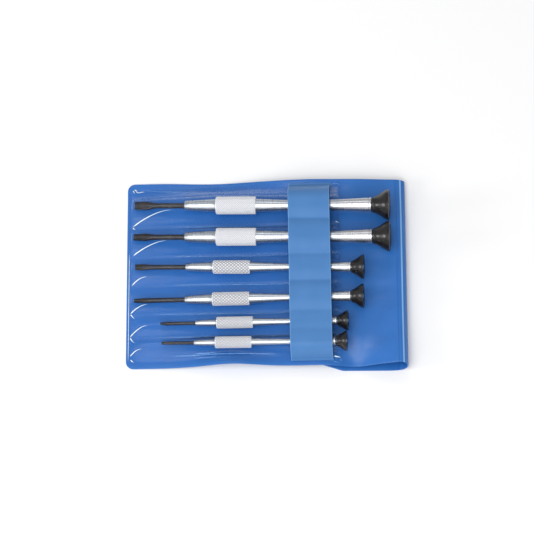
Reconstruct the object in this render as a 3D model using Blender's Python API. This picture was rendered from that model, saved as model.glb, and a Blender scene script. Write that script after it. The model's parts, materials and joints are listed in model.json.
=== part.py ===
"""A set of six slotted precision screwdrivers in a soft PVC wallet.

Frame: origin at the centre of the object's box, on the surface that it lies on. +X runs along the
screwdrivers from the blade tips to the swivel caps, +Y across the wallet and +Z up. Metres.

The wallet lies with its closing flap folded underneath, so the sheet leans up towards the fold. All that
lies on the sheet is placed in the sheet's own frame: an empty at the crease of the left border, tilted
with the sheet. There x is the distance from that crease, y is across the wallet and z is the height above
the sheet's underside.
"""

import math

import bmesh
import bpy
from mathutils import Matrix, Vector

MM = 0.001
GAP = 0.3 * MM  # between neighbours that touch

# The wallet
HALF_LENGTH = 60.0 * MM
HALF_WIDTH = 42.2 * MM
SHEET = 0.5 * MM  # thickness of the blue sheet and of the strap
FILM = 0.3 * MM  # thickness of the clear pocket film
BORDER = 3.5 * MM  # flat left border, which lies on the table
CORNER_RADIUS = 3.2 * MM
FOLD_RADIUS = 3.5 * MM  # of the sheet's middle surface, where the flap turns under
FOLD_SLIT = 0.75 * MM  # left free at each of the fold's hinge lines
FLAP_LENGTH = 58.0 * MM
FLAP_FULL_WIDTH_LENGTH = 24.0 * MM
FLAP_TAPER = 0.32
FLAP_CORNER_RADIUS = 8.0 * MM

# The pockets, as distances from the wallet's left edge and across it
FILM_START, FILM_END = 0.5 * MM, 91.9 * MM
FILM_HALF_WIDTH = 40.8 * MM
WELD_HALF_WIDTH = 0.6 * MM
WELDS_Y = [y * MM for y in (39.9, 21.9, 8.3, -4.8, -17.85, -28.4, -39.9)]
TIP_CLEARANCE = 0.35 * MM  # between the film and whatever slides through the pocket
ARC_POINTS = 5

# The strap that the flap's tongue tucks under
STRAP_START, STRAP_END = 70.2 * MM, 88.0 * MM
STRAP_HALF_WIDTH = 40.4 * MM
STRAP_SLANT = 0.008  # its bottom lies this much nearer to the fold than its top
STRAP_TAB = 1.0 * MM
STRAP_CLEARANCE = 0.35 * MM
STRAP_STEPS = 34
STRAP_FLAT = 1.2 * MM  # half the width over which the strap bears on each driver
STRAP_SAG = 55.0  # curve of the dip between two drivers, per metre
STRAP_SHOULDER = 0.75  # of the outermost drivers' radius, where the strap turns down to its tabs

# The fold is a half circle from the leaning sheet down to the flap
FOLD_CENTRE = Vector((HALF_LENGTH - SHEET / 2 - FOLD_RADIUS, 0, SHEET / 2 + FOLD_RADIUS))
CREASE = Vector((-HALF_LENGTH + BORDER, 0, SHEET / 2))
TO_FOLD = FOLD_CENTRE - CREASE
LEAN = math.atan2(TO_FOLD.z, TO_FOLD.x) + math.asin(FOLD_RADIUS / TO_FOLD.length)
HINGE_ANGLES = [math.radians(a) for a in (60, 0, -60)]  # of the three hinge lines round the fold

# Each size of screwdriver, in mm along its axis from the front of the handle
LARGE = {
    "blade_radius": 1.15,
    "nose": (2.1, 2.8),
    "knurl": (13.6, 30.9, 3.88),
    "shaft": (2.85, 2.05, 54.0),
    "end": (80.8, 3.2),
    "cap": (81.1, 88.4, 3.4, 6.7, 0.9),
    "pin_radius": 1.0,
}
MEDIUM = {
    "blade_radius": 1.0,
    "nose": (1.6, 2.24),
    "knurl": (11.8, 27.7, 2.98),
    "shaft": (2.25, 1.35, 49.0),
    "end": (71.0, 2.35),
    "cap": (71.3, 76.5, 2.7, 5.3, 0.75),
    "pin_radius": 0.8,
}
SMALL = {
    "blade_radius": 0.72,
    "nose": (1.15, 1.52),
    "knurl": (9.1, 24.6, 2.58),
    "shaft": (1.65, 1.1, 46.0),
    "end": (60.4, 1.85),
    "cap": (60.7, 65.2, 2.2, 4.35, 0.6),
    "pin_radius": 0.5,
}

# Screwdrivers from the top of the wallet down: size, tip width and thickness, blade length outside the
# handle and length of its flat (mm), place of the handle's front from the wallet's left edge and across
# it (mm), turn in the plane of the sheet and turn of the flat about its own axis (degrees)
DRIVERS = [
    (LARGE, 3.5, 0.7, 21.9, 7.0, 25.2, 30.3, -2.2, 8),
    (LARGE, 3.0, 0.6, 22.4, 7.0, 25.3, 15.8, -2.1, -12),
    (MEDIUM, 2.5, 0.5, 22.0, 5.0, 25.7, 2.3, -2.2, 5),
    (MEDIUM, 1.8, 0.4, 22.0, 5.2, 25.4, -12.5, -0.9, -15),
    (SMALL, 1.5, 0.35, 15.1, 3.6, 29.9, -23.1, -1.0, 78),
    (SMALL, 1.2, 0.3, 13.9, 3.2, 29.3, -31.9, -1.3, 10),
]

ROUND_STEPS = 20
CAP_STEPS = 28
THIN_STEPS = 14
FIT_GAP = 0.15 * MM  # round a blade in its handle and round a pin
BLADE_DEPTH = 9.0 * MM
PIN_DEPTH = 5.0 * MM
KNURL_CHAMFER = 0.35 * MM
DISH_SHARE = 0.15  # depth of the dish in a cap's end, over the cap's length
CAP_FLARE = [(0.0, 0.0), (0.2, 0.09), (0.4, 0.29), (0.6, 0.54), (0.82, 0.82), (1.0, 0.97)]


def clear_scene():
    for item in list(bpy.data.objects):
        bpy.data.objects.remove(item, do_unlink=True)


def material(name, colour, roughness, metallic=0.0, alpha=1.0):
    made = bpy.data.materials.new(name)
    made.use_nodes = True
    shader = made.node_tree.nodes["Principled BSDF"]
    shader.inputs["Base Color"].default_value = (*colour, 1.0)
    shader.inputs["Roughness"].default_value = roughness
    shader.inputs["Metallic"].default_value = metallic
    shader.inputs["Alpha"].default_value = alpha
    return made


def make_materials():
    return {
        "sheet": material("blue_pvc", (0.045, 0.16, 0.49), 0.3),
        "film": material("clear_film", (0.9, 0.95, 1.0), 0.1, alpha=0.25),
        "aluminium": material("turned_aluminium", (0.82, 0.82, 0.84), 0.25, 1.0),
        "blackened": material("blackened_steel", (0.05, 0.05, 0.055), 0.4, 0.8),
        "steel": material("bright_steel", (0.6, 0.6, 0.62), 0.25, 1.0),
        "cap": material("black_plastic", (0.018, 0.018, 0.02), 0.35),
    }


def place(name, bm, colour, parent=None):
    """Makes a named object of a bmesh, shaded smooth with its edges kept sharp."""
    bmesh.ops.recalc_face_normals(bm, faces=bm.faces)
    mesh = bpy.data.meshes.new(name)
    bm.to_mesh(mesh)
    bm.free()
    mesh.shade_smooth()
    mesh.set_sharp_from_angle(angle=math.radians(35))
    mesh.materials.append(colour)
    item = bpy.data.objects.new(name, mesh)
    bpy.context.collection.objects.link(item)
    item.parent = parent
    return item


def empty(name, matrix, parent=None):
    item = bpy.data.objects.new(name, None)
    bpy.context.collection.objects.link(item)
    item.parent = parent
    item.matrix_basis = matrix
    return item


def turned(name, profile, steps, colour, parent):
    """A turned piece about X, from a closed profile of (x, radius) or one that starts and ends on the axis."""
    bm = bmesh.new()
    points = [bm.verts.new((x, 0, radius)) for x, radius in profile]
    edges = [bm.edges.new(pair) for pair in zip(points, points[1:])]
    if profile[0][1] > 0:
        edges.append(bm.edges.new((points[-1], points[0])))
    bmesh.ops.spin(
        bm, geom=points + edges, cent=(0, 0, 0), axis=(1, 0, 0), angle=math.tau, steps=steps, use_merge=True
    )
    bmesh.ops.remove_doubles(bm, verts=bm.verts, dist=1e-7)
    return place(name, bm, colour, parent)


def skin(name, rows, thickness, offset, colour, parent=None):
    """A sheet given as rows of points, thickened by a Solidify modifier."""
    bm = bmesh.new()
    grid = [[bm.verts.new(point) for point in row] for row in rows]
    for row, after in zip(grid, grid[1:]):
        for k in range(len(row) - 1):
            bm.faces.new((row[k], after[k], after[k + 1], row[k + 1]))
    bm.normal_update()
    upward = sum(face.normal.z * face.calc_area() for face in bm.faces) > 0
    item = place(name, bm, colour, parent)
    solidify = item.modifiers.new("thickness", "SOLIDIFY")
    solidify.thickness = thickness
    solidify.offset = offset if upward else -offset
    solidify.use_even_offset = True
    return item


# The wallet's sheet


def rounded_half_width(distance, radius, half_width):
    """Half the sheet's width at a distance from an end whose corners are rounded."""
    if distance >= radius:
        return half_width
    return half_width - radius + math.sqrt(radius**2 - (radius - distance) ** 2)


def across(centre, half_width):
    return [centre + Vector((0, half_width, 0)), centre - Vector((0, half_width, 0))]


def fold_point(angle):
    return FOLD_CENTRE + FOLD_RADIUS * Vector((math.cos(angle), 0, math.sin(angle)))


def fold_arc(start, end, steps):
    return [fold_point(start + (end - start) * k / steps) for k in range(steps + 1)]


def make_sheet(colours):
    """The back sheet, two fold strips and the closing flap: one sheet, cut at three hinge lines."""
    slit = FOLD_SLIT / 2 / FOLD_RADIUS
    upper, middle, lower = HINGE_ANGLES
    corner = [CORNER_RADIUS * (1 - math.cos(math.radians(a))) for a in (0, 25, 45, 65, 90)]
    rows = []
    for distance in corner:
        width = rounded_half_width(distance, CORNER_RADIUS, HALF_WIDTH)
        rows.append(across(Vector((-HALF_LENGTH + distance, 0, SHEET / 2)), width))
    rows.append(across(CREASE, HALF_WIDTH))
    for point in fold_arc(math.pi / 2 + LEAN, upper + slit, 4):
        rows.append(across(point, HALF_WIDTH))
    skin("back_sheet", rows, SHEET, 0, colours["sheet"])

    for name, start, end in (("fold_strip_upper", upper, middle), ("fold_strip_lower", middle, lower)):
        rows = [across(point, HALF_WIDTH) for point in fold_arc(start - slit, end + slit, 4)]
        skin(name, rows, SHEET, 0, colours["sheet"])

    rows = [across(point, HALF_WIDTH) for point in fold_arc(lower - slit, -math.pi / 2, 4)]
    corner_start = FLAP_LENGTH - FLAP_CORNER_RADIUS
    distances = [FLAP_FULL_WIDTH_LENGTH, corner_start]
    distances += [corner_start + FLAP_CORNER_RADIUS * math.sin(math.radians(a)) for a in (30, 55, 75, 90)]
    for distance in distances:
        straight = HALF_WIDTH - FLAP_TAPER * max(0.0, distance - FLAP_FULL_WIDTH_LENGTH)
        width = rounded_half_width(FLAP_LENGTH - distance, FLAP_CORNER_RADIUS, straight)
        rows.append(across(Vector((FOLD_CENTRE.x - distance, 0, SHEET / 2)), width))
    skin("closing_flap", rows, SHEET, 0, colours["sheet"])


# A screwdriver and the way it lies on the sheet


def pitch_of(size):
    """The handle's slope on the sheet: it rests on the front of its knurl and on the rim of its cap."""
    knurl_start, _, knurl_radius = size["knurl"]
    _, cap_end, _, cap_radius, rim = size["cap"]
    return math.atan((cap_radius - knurl_radius) / (cap_end - rim - knurl_start))


def axis_height(size, along):
    """Height of the screwdriver's axis over the sheet's underside, along mm from the handle's front."""
    pitch = pitch_of(size)
    knurl_start, _, knurl_radius = size["knurl"]
    front = knurl_radius * math.cos(pitch) - knurl_start * math.sin(pitch)
    return SHEET + GAP + (front + along * math.tan(pitch)) * MM


def cap_radius(size, along):
    """Outer radius of the swivel cap at this place, in mm: zero in front of it."""
    start, end, neck, rim_radius, rim = size["cap"]
    share = (along - start) / (end - rim - start)
    if share < 0:
        return 0.0
    for (share_0, spread_0), (share_1, spread_1) in zip(CAP_FLARE, CAP_FLARE[1:]):
        if share <= share_1:
            spread = spread_0 + (spread_1 - spread_0) * (share - share_0) / (share_1 - share_0)
            return neck + (rim_radius - neck) * spread
    return rim_radius


def swept_radius(size, tip_width, along):
    """Radius that the pocket needs at this place for the screwdriver to slide out through it, in mm."""
    knurl_start, _, knurl_radius = size["knurl"]
    nose_front, nose_back = size["nose"]
    if along > knurl_start - 1.0:
        return max(knurl_radius, cap_radius(size, along))
    if along > -1.0:
        share = max(0.0, along) / knurl_start
        return max(tip_width / 2, nose_front + (nose_back - nose_front) * share)
    return max(tip_width / 2, size["blade_radius"])


def handle_profile(size):
    nose_front, nose_back = (r * MM for r in size["nose"])
    knurl_start, knurl_end, knurl = (v * MM for v in size["knurl"])
    shaft, waist, waist_at = (v * MM for v in size["shaft"])
    end, end_radius = (v * MM for v in size["end"])
    blade_bore = size["blade_radius"] * MM + FIT_GAP
    pin_bore = size["pin_radius"] * MM + FIT_GAP
    edge = 0.3 * MM
    groove = 1.4 * MM
    return [
        (0, blade_bore),
        (0, nose_front - edge),
        (edge, nose_front),
        (knurl_start, nose_back),
        (knurl_start, knurl - KNURL_CHAMFER),
        (knurl_start + KNURL_CHAMFER, knurl),
        (knurl_end - KNURL_CHAMFER, knurl),
        (knurl_end, knurl - KNURL_CHAMFER),
        (knurl_end, shaft),
        (waist_at, waist),
        (waist_at + (end - waist_at) * 0.45, waist + (end_radius - waist) * 0.35),
        (end - groove, end_radius - 0.1 * MM),
        (end - groove, end_radius - 0.3 * MM),
        (end - groove + edge, end_radius - 0.3 * MM),
        (end - groove + edge, end_radius),
        (end, end_radius),
        (end, pin_bore),
        (end - PIN_DEPTH - FIT_GAP, pin_bore),
        (end - PIN_DEPTH - FIT_GAP, 0),
        (BLADE_DEPTH + FIT_GAP, 0),
        (BLADE_DEPTH + FIT_GAP, blade_bore),
    ]


def make_handle(name, size, colours, parent):
    """The turned handle, with a blind bore for the blade at its nose and one for the cap's pin."""
    profile = handle_profile(size)
    outer = profile[:19]
    inner = profile[19:]
    return turned(name, inner + outer, ROUND_STEPS, colours["aluminium"], parent)


def head_seat(size):
    """Bottom of the dish in the cap's end, where the pin's head sits, in mm."""
    start, end = size["cap"][:2]
    return end - DISH_SHARE * (end - start)


def cap_profile(size):
    """A bell-shaped cap that flares to a thin rim, with a dished end and a bore for its pin."""
    start, end, neck, rim_radius, rim = (v * MM for v in size["cap"])
    bore = size["pin_radius"] * MM + FIT_GAP
    seat = head_seat(size) * MM
    edge = 0.25 * MM
    flare = []
    for share, spread in CAP_FLARE:
        along = start + (end - rim - start) * share
        flare.append((along, neck + (rim_radius - neck) * spread))
    return flare + [
        (end - edge, rim_radius),
        (end, rim_radius - edge),
        (end, rim_radius * 0.82),
        (seat, rim_radius * 0.55),
        (seat, bore),
        (start, bore),
    ]


def make_pin(name, size, colours, parent):
    """The rivet that the cap turns on: its shank is in the handle and its head in the cap's dish."""
    end = size["end"][0] * MM
    shank = size["pin_radius"] * MM
    seat = head_seat(size) * MM + FIT_GAP
    head = min(0.75 * MM, size["cap"][1] * MM - seat - 0.05 * MM)
    profile = [
        (end - PIN_DEPTH, 0),
        (end - PIN_DEPTH, shank),
        (seat, shank),
        (seat, shank * 1.7),
        (seat + head * 0.6, shank * 1.6),
        (seat + head, shank * 0.8),
        (seat + head, 0),
    ]
    return turned(name, profile, THIN_STEPS, colours["steel"], parent)


def blade_section(along, half_width, half_thickness, square):
    """A ring round the blade: square 0 is an ellipse, and 1 a rectangle with its corners just rounded."""
    points = []
    for k in range(THIN_STEPS + 2):
        angle = math.tau * (k + 0.5) / (THIN_STEPS + 2)
        y, z = math.cos(angle), math.sin(angle)
        stretch = 1 / max(abs(y), abs(z))
        factor = 1 + square * (min(stretch, 1.35) - 1)
        points.append((along, half_width * min(1, max(-1, y * factor)), half_thickness * min(1, max(-1, z * factor))))
    return points


def make_blade(name, size, tip_width, tip_thickness, length, flat, colours, parent):
    """A round blade whose end is forged to a flat that tapers to the tip."""
    radius = size["blade_radius"]
    sections = [
        (BLADE_DEPTH / MM, radius, radius, 0.0),
        (-(length - flat - 1.2), radius, radius, 0.0),
        (-(length - flat + 0.8), (radius + tip_width / 2) / 2, radius * 0.8, 0.4),
        (-(length - flat + 2.0), tip_width / 2, radius * 0.55, 0.9),
        (-length, tip_width / 2, tip_thickness / 2, 1.0),
    ]
    bm = bmesh.new()
    rings = []
    for along, width, thickness, square in sections:
        ring = [bm.verts.new(Vector(p) * MM) for p in blade_section(along, width, thickness, square)]
        rings.append(ring)
    for ring, after in zip(rings, rings[1:]):
        for k in range(len(ring)):
            j = (k + 1) % len(ring)
            bm.faces.new((ring[k], ring[j], after[j], after[k]))
    bm.faces.new(rings[0])
    bm.faces.new(rings[-1])
    return place(name, bm, colours["blackened"], parent)


def make_driver(number, spec, colours, sheet_frame):
    """One screwdriver, lying on the sheet: blade, handle, cap pin and swivel cap."""
    size, tip_width, tip_thickness, blade_length, flat, front, across_sheet, turn, roll = spec
    pitch = pitch_of(size)
    origin = Vector((front * MM - BORDER, across_sheet * MM, axis_height(size, 0)))
    lie = Matrix.Rotation(math.radians(turn), 4, "Z") @ Matrix.Rotation(-pitch, 4, "Y")
    axis = empty(f"driver_{number}_axis", Matrix.Translation(origin) @ lie, sheet_frame)
    make_handle(f"driver_{number}_handle", size, colours, axis)
    blade = make_blade(
        f"driver_{number}_blade", size, tip_width, tip_thickness, blade_length, flat, colours, axis
    )
    blade.rotation_euler.x = math.radians(roll)
    make_pin(f"driver_{number}_cap_pin", size, colours, axis)
    turned(f"driver_{number}_swivel_cap", cap_profile(size), CAP_STEPS, colours["cap"], axis)


# The clear pockets and the strap, draped over the screwdrivers


def draped(centre, radius, low, high, base):
    """A skin stretched over a circle, from its weld at low to its weld at high: points (y, z)."""
    y0, z0 = centre

    def touch(reach):
        distance = math.hypot(reach, z0 - base)
        return math.atan2(base - z0, reach) + math.acos(min(0.999, radius / distance))

    start = math.pi - touch(y0 - low)
    end = touch(high - y0)
    points = [(low, base)]
    for k in range(ARC_POINTS):
        angle = start + (end - start) * k / (ARC_POINTS - 1)
        points.append((y0 + radius * math.cos(angle), z0 + radius * math.sin(angle)))
    return points + [(high, base)]


def driver_in_section(spec, from_left):
    """(y, z) of a screwdriver's axis and the radius to clear, at a place measured from the left edge."""
    size, tip_width, _, _, _, front, across_sheet, turn, _ = spec
    along = from_left / MM - front
    y = (across_sheet + along * math.tan(math.radians(turn))) * MM
    return (y, axis_height(size, along)), swept_radius(size, tip_width, along) * MM + TIP_CLEARANCE


def film_row(from_left):
    """One row of the film across the wallet, from the bottom edge to the top."""
    base = SHEET + GAP
    points = [(-FILM_HALF_WIDTH, base)]
    for spec, high, low in reversed(list(zip(DRIVERS, WELDS_Y, WELDS_Y[1:]))):
        blade_tip = (spec[5] - spec[3]) * MM
        centre, radius = driver_in_section(spec, max(from_left, blade_tip))
        rise_start, rise_end = 1.5 * MM, blade_tip - 0.5 * MM
        share = min(1.0, max(0.0, (from_left - rise_start) / (rise_end - rise_start)))
        share = math.sqrt(share)
        for y, z in draped(centre, radius, low + WELD_HALF_WIDTH, high - WELD_HALF_WIDTH, base):
            points.append((y, base + (z - base) * share))
    points.append((FILM_HALF_WIDTH, base))
    return [Vector((from_left - BORDER, y, z)) for y, z in points]


def make_film(colours, sheet_frame):
    places = [FILM_START / MM, 1.5, 1.8, 2.2, 2.6, 6.0, 13.0, 23.0, 25.0, 33.0, 36.2, 38.2, 60.0, 88.8]
    rows = [film_row(p * MM) for p in places] + [film_row(FILM_END)]
    skin("pocket_film", rows, FILM, 1, colours["film"], sheet_frame)


def strap_height(y, crowns):
    """Underside of the strap over y: pulled tight from driver to driver, with a shallow dip between them."""
    heights = []
    for (centre_y, centre_z), radius in crowns:
        beside = max(0.0, abs(y - centre_y) - STRAP_FLAT)
        heights.append(centre_z + radius - STRAP_SAG * beside**2)
    return max(heights)


def strap_row(from_left):
    """One row of the strap across the wallet, from its bottom tab to its top one."""
    tab = SHEET + GAP + FILM + GAP
    crowns = []
    for spec in DRIVERS:
        centre, radius = driver_in_section(spec, from_left)
        crowns.append((centre, radius + FILM + STRAP_CLEARANCE))
    (first_y, _), first_radius = crowns[0][0], crowns[0][1]
    (last_y, _), last_radius = crowns[-1][0], crowns[-1][1]
    low = last_y - last_radius * STRAP_SHOULDER
    high = first_y + first_radius * STRAP_SHOULDER
    middle = [low + (high - low) * k / STRAP_STEPS for k in range(STRAP_STEPS + 1)]
    points = [(-STRAP_HALF_WIDTH, tab), (-STRAP_HALF_WIDTH + STRAP_TAB, tab)]
    points += [(y, strap_height(y, crowns)) for y in middle]
    points += [(STRAP_HALF_WIDTH - STRAP_TAB, tab), (STRAP_HALF_WIDTH, tab)]
    return [Vector((from_left - BORDER - STRAP_SLANT * y, y, z)) for y, z in points]


def make_strap(colours, sheet_frame):
    rows = [strap_row(STRAP_START), strap_row(STRAP_END)]
    skin("holding_strap", rows, SHEET, 1, colours["sheet"], sheet_frame)


def main():
    clear_scene()
    colours = make_materials()
    make_sheet(colours)
    lean = Matrix.Translation(CREASE - Vector((0, 0, SHEET / 2))) @ Matrix.Rotation(-LEAN, 4, "Y")
    sheet_frame = empty("sheet_frame", lean)
    for number, spec in enumerate(DRIVERS, start=1):
        make_driver(number, spec, colours, sheet_frame)
    make_film(colours, sheet_frame)
    make_strap(colours, sheet_frame)


main()
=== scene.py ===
"""The looks of a set of six precision screwdrivers in a soft PVC wallet.

Metres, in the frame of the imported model: +X along the screwdrivers from tip to cap, +Y across the wallet
and +Z up. What lies on the wallet's sheet is placed by (s, y, h): s is the distance along the sheet from its
left edge, y the place across it and h the height over its upper face.
"""

import functools
import json
import math

import bpy
from mathutils import Matrix, Vector, noise


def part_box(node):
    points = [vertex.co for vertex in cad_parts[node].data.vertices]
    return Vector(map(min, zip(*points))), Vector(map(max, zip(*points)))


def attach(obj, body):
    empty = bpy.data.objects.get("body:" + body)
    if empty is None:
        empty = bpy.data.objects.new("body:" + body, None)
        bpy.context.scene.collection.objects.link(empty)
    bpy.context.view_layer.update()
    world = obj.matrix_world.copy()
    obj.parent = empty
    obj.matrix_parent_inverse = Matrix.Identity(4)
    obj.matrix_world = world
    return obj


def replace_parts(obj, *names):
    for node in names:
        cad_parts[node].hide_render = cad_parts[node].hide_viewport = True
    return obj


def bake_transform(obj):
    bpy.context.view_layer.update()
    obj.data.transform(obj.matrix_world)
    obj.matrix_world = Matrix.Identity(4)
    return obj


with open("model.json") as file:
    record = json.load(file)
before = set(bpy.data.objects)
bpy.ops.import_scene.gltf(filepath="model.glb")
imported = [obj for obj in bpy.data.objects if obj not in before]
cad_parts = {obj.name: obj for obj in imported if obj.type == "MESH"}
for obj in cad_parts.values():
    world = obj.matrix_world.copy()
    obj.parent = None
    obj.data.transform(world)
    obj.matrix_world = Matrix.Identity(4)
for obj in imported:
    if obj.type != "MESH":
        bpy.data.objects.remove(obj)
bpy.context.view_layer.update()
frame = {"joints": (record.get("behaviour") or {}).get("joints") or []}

MM = 0.001
JOINTS = {joint["name"]: joint for joint in frame["joints"]}

# The wallet
SHEET = 0.5 * MM
RIM_ROUNDING = 0.12 * MM
BORDER = 3.5 * MM  # lies flat, left of the crease where the sheet starts to lean
CREASE_BLEND = 3.0 * MM
CORNER_RADIUS = 3.2 * MM
FLAP_LENGTH = 58.0 * MM
FLAP_FULL_WIDTH_LENGTH = 24.0 * MM
FLAP_TAPER = 0.32
FLAP_CORNER_RADIUS = 8.0 * MM
LEFT_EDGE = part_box("back_sheet")[0][0]
HALF_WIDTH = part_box("back_sheet")[1][1]

# The fold: a half circle round FOLD_CENTRE, through the three hinge lines
HINGES = [Vector(JOINTS[f"fold_hinge_{k}"]["pos_m"]) for k in (1, 2, 3)]
FOLD_RADIUS = (HINGES[0].z - HINGES[2].z) / (2 * math.sin(math.radians(60)))
FOLD_CENTRE = Vector((HINGES[1].x - FOLD_RADIUS, 0, HINGES[1].z))
CREASE = Vector((LEFT_EDGE + BORDER, 0, SHEET / 2))
TO_FOLD = FOLD_CENTRE - CREASE
LEAN = math.atan2(TO_FOLD.z, TO_FOLD.x) + math.asin(FOLD_RADIUS / TO_FOLD.length)
SLOPE_LENGTH = math.sqrt(TO_FOLD.length**2 - FOLD_RADIUS**2)
FOLD_START = BORDER + SLOPE_LENGTH
FLAP_START = FOLD_START + FOLD_RADIUS * (math.pi + LEAN)

# Soft waves of the sheet's long edges: side, x of the crest, half length, height and reach inward (mm)
EDGE_WAVES = [
    (-1, -15, 14.5, 4.6, 9),
    (-1, 38, 8, -3.8, 15),
    (-1, 60, 9, 2.2, 26),
    (1, -22, 17, -2.2, 9),
    (1, 16, 13, 1.0, 5),
    (1, 60, 16, -2.6, 22),
]
# Guessed dents and swellings of the sheet past the pockets: x, y, half length, half width and height (mm)
DENTS = [
    (47.5, 3.5, 5.5, 6.0, -0.9),
    (47.5, -9.0, 6.5, 5.0, -1.0),
    (36.5, 35.5, 6.0, 4.0, 0.8),
    (38.5, -33.5, 3.0, 6.0, 0.7),
]
RIPPLE = 0.14 * MM
RIPPLE_LENGTH = 17 * MM
PAINTED_HIGHLIGHT_TURN = 63  # degrees round the fold, where a painted highlight runs along it as a pale line
PAINTED_HIGHLIGHT_WIDTH = 0.26 * MM
FLAP_SHIFT = 1.1 * MM  # the flap is folded under a little askew

# The clear pockets
FILM = 0.16 * MM
FILM_START, FILM_END = 0.5 * MM, 91.9 * MM
FILM_HALF_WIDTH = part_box("pocket_film")[1][1]
FILM_LIFT = 0.04 * MM
WELD_HALF_WIDTH = 0.85 * MM
WELDS_Y = [y * MM for y in (39.9, 21.9, 8.3, -4.8, -17.85, -28.4, -39.9)]
FILM_CLEARANCE = 0.28 * MM
FLANK_STEPS = 18
CREST_STEPS = 8
WELD_STEPS = 10
WELD_RIDGE = 0.09 * MM
FLANK_SAG = 0.45 * MM

# Creases in the film, from (s, y) to (s, y) in mm: those that rise from the ends of the welds towards the
# screwdrivers, short ones (eight by the left ends of the welds, two at the pockets' mouths), one along the
# left border, and long faint ones; all but the long faint ones are coloured as painted highlights
RISING_CREASES = [
    (2.2, 22.2, 19.5, 28.0),
    (2.6, 9.0, 17.5, 13.9),
    (2.2, -4.6, 8.9, -1.1),
    (1.7, -17.4, 9.3, -14.0),
    (1.6, -28.0, 9.3, -23.6),
    (1.8, -36.7, 6.9, -33.7),
]
SHORT_CREASES = [
    (3.6, 38.7, 5.4, 37.6),
    (2.9, 39.6, 4.4, 38.9),
    (4.9, 38.1, 7.4, 38.4),
    (2.3, 39.2, 3.0, 37.6),
    (2.4, 21.9, 3.5, 20.9),
    (1.8, -17.7, 3.6, -19.6),
    (1.7, -28.3, 3.8, -31.0),
    (2.0, -38.2, 3.4, -39.3),
    (88.8, -38.5, 91.6, -38.8),
    (90.0, 22.6, 91.5, 22.0),
]
BORDER_CREASE = (0.95, 10.0, 0.95, -39.0)
LONG_CREASES = [
    (5.4, 39.3, 38.0, 35.6),
    (19.5, -37.2, 64.0, -37.6),
    (20.0, 21.9, 88.0, 20.3),
    (20.0, 8.3, 88.0, 6.9),
    (20.0, -4.8, 88.0, -5.9),
    (12.0, -17.9, 88.0, -18.9),
    (12.0, -28.4, 88.0, -29.0),
]
RISING_HALF_WIDTH = 0.21 * MM
SHORT_HALF_WIDTH = 0.24 * MM
BORDER_HALF_WIDTH = 0.1 * MM
LONG_HALF_WIDTH = 0.17 * MM
SPOT_WELD = (3.4, 1.1)  # length and half width of the weld at the mouth, at the end of each seam, mm
SPOT_MARGIN = 0.3 * MM  # from the film's edge
SPOT_OFFSET = 1.1 * MM  # below its seam
BOTTOM_SPOT = (34.0, -37.6, 4.5, 0.9)  # s, y, half length and half width of the one by the edge, mm
SPOT_LINE_HALF_WIDTH = 0.16 * MM

# The strap
STRAP_START, STRAP_END = 70.2 * MM, 88.0 * MM
STRAP_HALF_WIDTH = 40.4 * MM
STRAP_SLANT = 0.008  # its bottom lies this much nearer to the fold than its top
STRAP_TAB = 1.2 * MM
STRAP_CLEARANCE = 0.3 * MM
STRAP_FLAT = 1.2 * MM
STRAP_SAG = 46.0  # per metre
STRAP_ROUNDING = 0.25 * MM  # where the humps of two screwdrivers meet
STRAP_SHOULDERS = (1.0 * MM, 0.9 * MM)  # past the axes of the bottom and the top screwdriver
STRAP_SLOPE_POWER = 2.2
STRAP_PALE_EDGE = 0.35 * MM  # its cut edges catch the light
STRAP_PALENESS = 0.45

# Each size of screwdriver, in mm along its axis from the front of the handle
LARGE = {
    "blade_radius": 1.15,
    "nose": (2.1, 2.8),
    "knurl": (13.6, 30.9, 3.88),
    "shaft": (2.85, 2.05, 54.0),
    "end": (80.8, 3.2),
    "cap": (81.1, 88.4, 3.4, 6.7, 0.9),
    "pin_radius": 1.0,
    "teeth": 26,
    "tooth_depth": 0.27,
}
MEDIUM = {
    "blade_radius": 1.0,
    "nose": (1.6, 2.24),
    "knurl": (11.8, 27.7, 2.98),
    "shaft": (2.25, 1.35, 49.0),
    "end": (71.0, 2.35),
    "cap": (71.3, 76.5, 2.7, 5.3, 0.75),
    "pin_radius": 0.8,
    "teeth": 12,
    "tooth_depth": 0.35,
}
SMALL = {
    "blade_radius": 0.72,
    "nose": (1.15, 1.52),
    "knurl": (9.1, 24.6, 2.58),
    "shaft": (1.65, 1.1, 46.0),
    "end": (60.4, 1.85),
    "cap": (60.7, 65.2, 2.2, 4.35, 0.6),
    "pin_radius": 0.5,
    "teeth": 11,
    "tooth_depth": 0.34,
}

# Size, tip width and thickness, length of blade outside the handle and of its flat (mm), roll (degrees)
DRIVERS = [
    (LARGE, 3.5, 0.7, 21.9, 7.0, 8),
    (LARGE, 3.0, 0.6, 22.4, 7.0, -12),
    (MEDIUM, 2.5, 0.5, 22.0, 5.0, 5),
    (MEDIUM, 1.8, 0.4, 22.0, 5.2, -15),
    (SMALL, 1.5, 0.35, 15.1, 3.6, 78),
    (SMALL, 1.2, 0.3, 13.9, 3.2, 10),
]
BLADE_DEPTH = 9.0 * MM
PIN_DEPTH = 5.0 * MM
PIN_HEAD = 1.7  # radius of its head over that of its shank
FIT_GAP = 0.15 * MM
KNURL_CHAMFER = 0.35 * MM
DEEPEST_TOOTH = 0.35 * MM
DISH_SHARE = 0.15  # depth of the dish in a cap's end, over the cap's length

# The picture
CAMERA_ELEVATION = math.radians(70)
CAMERA_DISTANCE = 1.3
CAMERA_TARGET = Vector((0.0002, 0.0003, 0))
CAMERA_ROLL = math.radians(-0.25)
SENSOR_WIDTH = 36  # mm
VIEW_WIDTH = 0.2365  # metres across the picture, at the target
FLOOR_HALF = 1.6
FLOOR_DROP = 0.05 * MM


def smooth(t):
    t = min(1.0, max(0.0, t))
    return t * t * (3 - 2 * t)


def mix(a, b, t):
    return a + (b - a) * t


def spread(start, end, steps):
    return [mix(start, end, k / steps) for k in range(steps + 1)]


# Materials


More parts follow.
